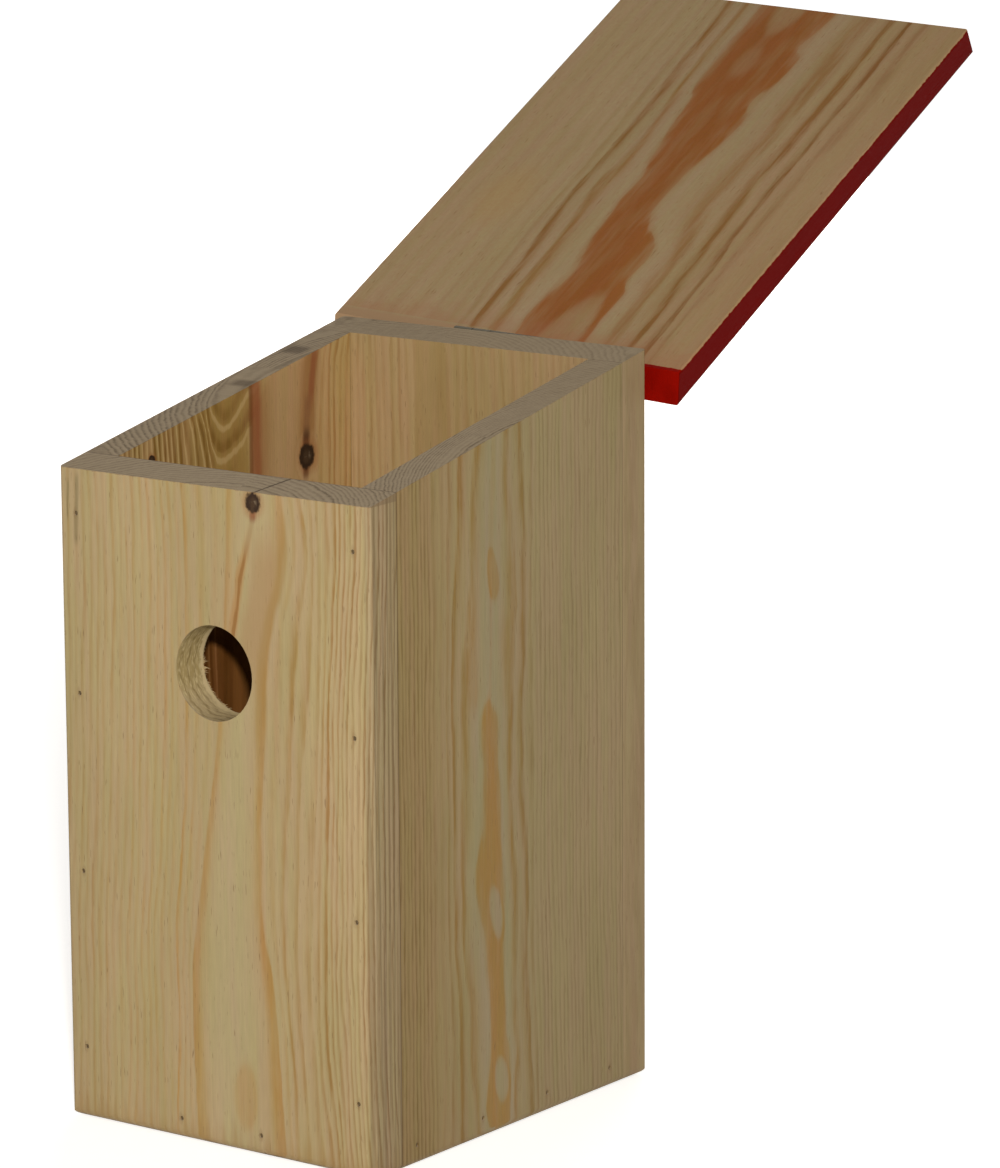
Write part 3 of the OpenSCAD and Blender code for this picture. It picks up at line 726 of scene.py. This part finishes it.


# The left side board
# The same stock as the right side; only its inner face shows over the front board.
# A pointed figure of pale rings stands left of a red-brown band, and two knots near the top.
# Low in the chamber its inner face is painted darker in brown bands: painted shade.
left = Pine("left_side_pine", (-51.0, 0.0, 0.0), (0.0, 0.0, math.pi / 2))
count = left.rings(
    heart=[(0, 24), (254, 24)],
    core=[(0, 0.62), (254, 0.62)],
    left=[
        (1, [(0, 13), (200, 12), (254, 11)]),
        (1, [(0, -8), (200, -13), (213, -11.5), (225, -14), (235, -19), (254, -26)]),
        (4, [(0, -28), (200, -30), (254, -33)]),
        (13, [(0, -64), (200, -64), (254, -66)]),
    ],
    right=[
        (1, [(0, 36), (205, 41), (254, 44)]),
        (2, [(0, 50), (254, 51)]),
        (5, [(0, 66), (254, 66)]),
    ],
    rim=one_ring,
    pith=50.0,
    swells=[(37.5, 211, 6, 8, 0, 0.9)],
    jitter=1.1,
)
bent_across = left.put("SeparateXYZ", left.bent)
figure_foot = 209.0
figure = left.line(bent_across, [(-40, 80), (-18, 21), (-10.5, 0), (6, 15), (20, 34)])
figure = left.sum("SUBTRACT", left.sum("SUBTRACT", left.along, figure_foot), figure)
count = left.sum("MULTIPLY_ADD", left.sum("MAXIMUM", figure, 0.0), -0.075, count)
colour = left.face(
    count,
    strength=[(-19, 1.0), (-3, 0.9), (-1.9, 0.9), (-1, 0.8), (0, 0.8), (1, 0.8), (8, 0.8)],
    pale=[(-19, (174, 144, 96)), (-5, (166, 135, 84)), (-1.5, (163, 129, 72)), (0, (186, 152, 108)),
          (2, (190, 158, 108)), (8, (188, 156, 106))],
    late=[(-19, (124, 90, 45)), (-5, (130, 96, 46)), (-1.5, (134, 99, 48)), (-0.9, (158, 110, 70)),
          (0, (176, 140, 96)), (1, (170, 128, 80)), (8, (166, 130, 78))],
)
# Thin pale early-wood lines along the rings: grain, brightened as a painted glint.
one_year_glint = [(0.0, 0.0), (0.1, 0.0), (0.2, 1.0), (0.27, 1.0), (0.4, 0.0), (1.0, 0.0)]
glint_share = [(-19, 0.25), (-6, 0.5), (-2, 0.46), (-1, 0.42), (-0.6, 0.0)]
early_wood_glint = left.line(left.sum("FRACT", count), one_year_glint)
early_wood_glint = left.sum("MULTIPLY", early_wood_glint, left.line(left.signed, glint_share))
colour = left.mix(early_wood_glint, colour, tone(200, 170, 118))
for streak in (
    ([(0, 9.8), (254, 9.8)], 4.6, -20, 246, (146, 80, 50), 0.75),
    ([(0, 7.2), (254, 7.2)], 1.8, -20, 246, (108, 62, 28), 0.6),
    ([(200, 37), (225, 38.5), (254, 42)], 6.5, 214, 250, (148, 104, 58), 0.7),
    ([(225, 39), (254, 43.4)], 2.4, 229, 250, (140, 72, 46), 0.6),
    ([(200, 37), (225, 38), (254, 41)], 2.6, 204, 232, (134, 92, 60), 0.6, 3.0),
    ([(200, 37), (225, 37.8), (254, 40)], 2.4, 204, 220, (60, 38, 24), 0.9, 3.0),
):
    colour = left.streak(colour, *streak)
# Painted shade: the inner face is multiplied darker in brown bands below about 172 mm, fading out by 202
# mm.
deep = left.ease(left.along, 172.0, 202.0)
deep = left.sum("MAXIMUM", deep, left.ease(left.depth, 0.4, 1.2))
painted_shade_bands = left.ease(left.noise(5.0, 5.0, 90.0, 3.3), 0.35, 0.65)
painted_shade_bands = left.mix(painted_shade_bands, (0.42, 0.27, 0.19, 1), (0.60, 0.40, 0.34, 1))
colour = left.tint(colour, left.mix(deep, painted_shade_bands, white))
colour = left.knot(colour, 37.5, 211.0, 3.9, 4.4)
colour = left.knot(colour, -45.5, 222.0, 1.4, 1.5)
colour = left.torn_edge(colour, roof_fall, -half_deep)
colour = left.sawn_end(colour, marks=[(8.5, 0.0, 4.2, 0.6, 4, 7), (42, 0.0, 5.0, 0.65, 8, 7)])
colour = left.close(colour, left.across, -half_inside)
colour = left.close(colour, left.across, half_inside)
colour = left.nail_marks(colour, side_board_nails)
left.done(colour, parts["left_side"])


# The back board
# It stands 31 mm taller than the front and carries the hinge on its outer face.
# Its inner face is orange-tan with soft upright lines and two faint ovals.
back = Pine("back_pine", (0.0, half_inside, 0.0), (0.0, 0.0, 0.0))
count = back.rings(
    heart=[(0, -8), (120, -14), (254, -18)],
    core=[(0, 0.55), (254, 0.55)],
    left=[
        (1, [(0, -17), (120, -21), (254, -24)]),
        (6, [(0, -40), (254, -43)]),
        (9, [(0, -67), (254, -67)]),
    ],
    right=[
        (1, [(0, 2), (120, -4), (254, -9)]),
        (8, [(0, 28), (254, 24)]),
        (16, [(0, 67), (254, 67)]),
    ],
    rim=one_ring,
    pith=55.0,
    swells=[(-11, 150, 5, 16, 0, 0.3), (-13, 60, 5, 20, 0, 0.3)],
    jitter=1.1,
)
colour = back.face(
    count,
    strength=[(-16, 0.5), (-1, 0.38), (0, 0.45), (1, 0.3), (20, 0.35), (25, 0.5)],
    pale=[(-16, (156, 136, 102)), (-13, (178, 150, 108)), (-1, (175, 148, 105)), (0, (172, 145, 102)),
          (9, (169, 142, 101)), (21, (166, 140, 100)), (24, (154, 134, 101)), (26, (152, 133, 101))],
    late=[(-16, (130, 108, 74)), (-13, (152, 117, 74)), (-1, (150, 116, 70)), (0, (152, 116, 68)),
          (9, (146, 112, 70)), (21, (142, 110, 70)), (24, (132, 110, 76)), (26, (130, 108, 76))],
)
colour = back.sawn_end(colour)
colour = back.nail_marks(colour, end_board_nails)
back.done(colour, parts["back_board"])


# The floor board
# A short pine board between the four walls, its grain from front to back, with four drain holes.
# It is nailed through each wall and has darkened a little.
ground = Pine("floor_pine", (0.0, 0.0, board_thick), (-math.pi / 2, 0.0, 0.0))
count = ground.rings(
    heart=[(-64, 12), (0, 9), (64, 14)],
    core=[(-64, 0.4), (64, 0.4)],
    left=[(1, [(-64, -4), (0, -8), (64, -2)]), (14, [(-64, -54), (64, -52)])],
    right=[(1, [(-64, 26), (0, 22), (64, 29)]), (9, [(-64, 54), (64, 55)])],
    rim=[(-64, 1.0), (64, 1.0)],
    pith=50.0,
    swells=[],
    jitter=0.5,
)
colour = ground.face(
    count,
    strength=[(-15, 0.6), (0, 0.5), (10, 0.6)],
    pale=[(-15, (172, 142, 98)), (0, (176, 148, 104)), (10, (170, 142, 98))],
    late=[(-15, (140, 104, 62)), (0, (150, 110, 64)), (10, (140, 104, 62))],
)
colour = ground.sawn_end(colour)
ground.done(colour, parts["floor_board"])


# The roof
# A 10 mm pine board, wider than the box and longer than it is deep, bare underneath.
# Its upper face and edges have one brushed coat of red paint, which stops in a wavy line at the underside.
# The grain is laid out on the closed roof, from its back edge forwards, and turns with it to the rest pose.
hinge = frame["joints"][0]
hinge_place = Vector(hinge["pos_m"])
opening = Matrix.Rotation(math.radians(-hinge["range_deg"][0]), 4, Vector(hinge["axis"]))
opened = Matrix.Translation(hinge_place) @ opening @ Matrix.Translation(-hinge_place)
roof_gap = 0.2
back_high = front_high + 2.0 * half_deep * roof_fall
closed_back_edge = Vector((0.0, half_deep, back_high + roof_gap)) / mm_per_metre
closed = Matrix.Translation(closed_back_edge) @ Matrix.Rotation(roof_slope + math.pi / 2, 4, "X")
roof_place = opened @ closed
roof = Pine("painted_pine", roof_place.translation * mm_per_metre, roof_place.to_euler())
count = roof.rings(
    heart=[(0, 18), (20, 17), (45, 14), (75, 8), (100, 8), (150, 4), (204, 3)],
    core=[(0, 0.80), (204, 0.80)],
    left=[
        (1, [(0, 4), (8, 3.6), (15, 2.4), (30, 3), (40, 3.6), (50, 1.6), (65, -0.4), (80, -0.6), (92, 0),
             (100, -1), (105, -3), (115, -4.4), (130, -6.4), (143, -7.6), (150, -10.5), (165, -11.5),
             (180, -12), (204, -12.2)]),
        (1, [(0, -6), (8, -7), (20, -8.4), (40, -11), (60, -12), (90, -15), (105, -13.4), (130, -15),
             (150, -17), (204, -20)]),
        (1, [(0, -15.5), (8, -16), (20, -17.4), (40, -19), (60, -21), (80, -22), (120, -22.4), (150, -24),
             (170, -25.4), (185, -26.4), (204, -27.8)]),
        (2, [(0, -27), (60, -30), (100, -31), (150, -35), (204, -36)]),
        (6, [(0, -78), (204, -78)]),
    ],
    right=[
        (1, [(0, 33), (8, 32.6), (20, 30.6), (32, 31), (42, 27), (52, 28.6), (60, 27.4), (68, 21),
             (75, 17.4), (85, 16), (95, 16.4), (105, 17), (115, 19), (130, 19.6), (138, 18), (145, 16),
             (160, 19), (170, 19.5), (180, 16.6), (190, 18), (204, 21)]),
        (1, [(0, 43), (20, 42.5), (40, 41.6), (60, 40.4), (75, 38.6), (90, 36.5), (100, 37), (120, 37.4),
             (160, 37), (204, 37)]),
        (1, [(0, 50.5), (40, 50), (60, 48.6), (90, 47), (103, 45.5), (120, 46.2), (150, 46.2),
             (204, 45.5)]),
        (1, [(0, 58.5), (8, 58), (40, 57), (60, 55.8), (80, 55), (100, 54.4), (150, 54.2), (180, 53.8),
             (204, 53.2)]),
        (1, [(0, 62.5), (40, 61.5), (100, 60.5), (150, 60.5), (204, 59.5)]),
        (1, [(0, 80), (204, 80)]),
    ],
    rim=[(0, 1.0), (204, 1.0)],
    pith=70.0,
    swells=[(20, -4, 9, 34, 6, -0.6), (1, 208, 7, 24, 0, -0.45), (1, 168, 6, 12, 0, -0.2),
            (4, 130, 2.5, 18, 0, -0.12)],
    jitter=0.6,
)
colour = roof.face(
    count,
    strength=[(-11, 0.1), (-5, 0.2), (-3.5, 0.4), (-2.95, 0.78), (-2.5, 0.45), (-1.95, 0.95), (-1.5, 0.45),
              (-1, 0.95), (1, 0.95), (1.4, 0.4), (1.95, 0.85), (2.5, 0.45), (2.95, 0.9), (3.5, 0.4),
              (3.95, 0.95), (4.4, 0.4), (4.95, 0.7), (5.5, 0.15), (6, 0.15)],
    pale=[(-11, (176, 160, 123)), (-5, (171, 159, 121)), (-2, (168, 156, 120)), (-1, (169, 158, 123)),
          (0, (160, 138, 98)), (1, (169, 158, 122)), (3, (165, 150, 112)), (6, (166, 149, 111))],
    late=[(-11, (148, 124, 84)), (-3, (130, 103, 54)), (-2, (140, 113, 60)), (-1, (148, 98, 50)),
          (0, (142, 90, 38)), (1, (146, 96, 42)), (2, (138, 109, 60)), (4, (122, 94, 50)),
          (6, (142, 116, 78))],
)
yellow_patch = roof.ease(roof.reach(-47, 75, 13, 21), 0.3, 1.2, 0.55, 0.0)
colour = roof.mix(yellow_patch, colour, tone(176, 156, 106))
back_end = roof.sum("MULTIPLY_ADD", roof.noise(8.0, 8.0, 8.0, 3.7), -26.0, roof.along)
colour = roof.mix(roof.ease(back_end, -11.0, 6.0, 0.32, 0.0), colour, tone(164, 112, 84))
colour = roof.sawn_end(colour)
ragged = roof.sum("MULTIPLY_ADD", roof.noise(1.3, 1.3, 1.3, 6.6, 3.0), 0.7, -0.42)
bare_middle = (2.0, 101.5)
bare_half = (73.75, 101.3)
sideways = roof.sum("ABSOLUTE", roof.sum("SUBTRACT", roof.across, bare_middle[0]))
edge_out = roof.sum("SUBTRACT", sideways, bare_half[0])
lengthways = roof.sum("ABSOLUTE", roof.sum("SUBTRACT", roof.along, bare_middle[1]))
ends_out = roof.sum("SUBTRACT", lengthways, bare_half[1])
outer = roof.sum("MAXIMUM", roof.sum("MAXIMUM", edge_out, ends_out), roof.sum("SUBTRACT", roof.depth, 0.35))
missed = roof.ease(roof.across, -12.0, 2.0, 1.0, 0.0)
missed = roof.sum("MULTIPLY", missed, roof.ease(roof.depth, 1.9, 2.7, 1.0, 0.0))
missed = roof.sum("MULTIPLY", missed, roof.ease(roof.along, 3.0, 5.0, 1.0, 0.0))
outer = roof.sum("MULTIPLY_ADD", missed, -6.0, outer)
colour = roof.mix(missed, colour, tone(169, 138, 106))
outer = roof.sum("ADD", outer, ragged)
painted = roof.ease(outer, -0.12, 0.12)
bleed = roof.ease(outer, -1.1, 0.0, 0.0, 0.35)
brush = roof.noise(0.9, 0.9, 45.0, 7.1, 3.0)
thin = roof.ease(roof.noise(9.0, 9.0, 22.0, 4.1, 3.0), 0.35, 0.75)
red = roof.mix(thin, tone(143, 12, 3), tone(125, 9, 2))
red = roof.mix(roof.sum("MULTIPLY", brush, 0.5), red, tone(112, 6, 2))
red = roof.mix(roof.ease(edge_out, -0.15, 0.05, 0.0, 0.85), red, tone(97, 5, 2))
colour = roof.mix(bleed, colour, tone(168, 96, 70))
colour = roof.mix(painted, colour, red)
roof.done(colour, parts["roof_board"])
gloss = roof.sum("MULTIPLY_ADD", brush, 0.18, 0.30)
satin = roof.put("Mix", painted)
bare_roughness = roof.shader.inputs["Roughness"].links[0].from_socket
roof.feed(satin.node.inputs[2], bare_roughness)
roof.feed(satin.node.inputs[3], gloss)
roof.set(Roughness=satin, Specular_IOR_Level=0.02)


# The hinge
# A zinc-plated butt hinge with low round screws; only the ends of its knuckles show over the back's edge.
# It was rolled from 1 mm sheet round a 2 mm pin and brushed along its length before plating.
zinc = Finish("zinc")
metal_place = zinc.put("TexCoord", out=OBJECT_PLACE)


def metal_noise(finish, place, size):
    """Soft noise whose patches have this size in metres."""
    cloud = finish.put("TexNoise", finish.aim("DIVIDE", place, size))
    cloud.node.inputs["Scale"].default_value = 1.0
    cloud.node.inputs["Detail"].default_value = 3.0
    return cloud


scratch = metal_noise(zinc, metal_place, (0.012, 0.0002, 0.0002))
bloom = metal_noise(zinc, metal_place, (0.004, 0.004, 0.004))
zinc_bump = zinc.put("Bump", 0.25, 0.0001)
zinc.feed(zinc_bump.node.inputs["Height"], scratch)
# The zinc is painted a dark grey-brown, far darker than plated zinc: painted shade on the knuckles.
zinc.set(
    Base_Color=zinc.mix(bloom, tone(74, 68, 54), tone(104, 97, 80)),
    Metallic=1.0,
    Roughness=zinc.sum("MULTIPLY_ADD", scratch, 0.25, zinc.sum("MULTIPLY_ADD", bloom, 0.2, 0.28)),
    Normal=zinc_bump,
)
for name, part in parts.items():
    if name.startswith("hinge"):
        zinc.wear(part)


# The brads
# Eight rows of 1.2 mm bright steel brads, 30 mm long, their heads punched a little under the wood.
# The heads have dulled to a dark grey-brown.
steel = Finish("brad_steel")
dulled = metal_noise(steel, steel.put("TexCoord", out=OBJECT_PLACE), (0.0008, 0.0008, 0.0008))
steel_bump = steel.put("Bump", 0.3, 0.0001)
steel.feed(steel_bump.node.inputs["Height"], dulled)
steel.set(
    Base_Color=steel.mix(dulled, tone(88, 72, 50), tone(124, 106, 78)),
    Metallic=0.5,
    Roughness=steel.sum("MULTIPLY_ADD", dulled, 0.3, 0.45),
    Normal=steel_bump,
)
for name, part in parts.items():
    if "brads" in name:
        steel.wear(part)
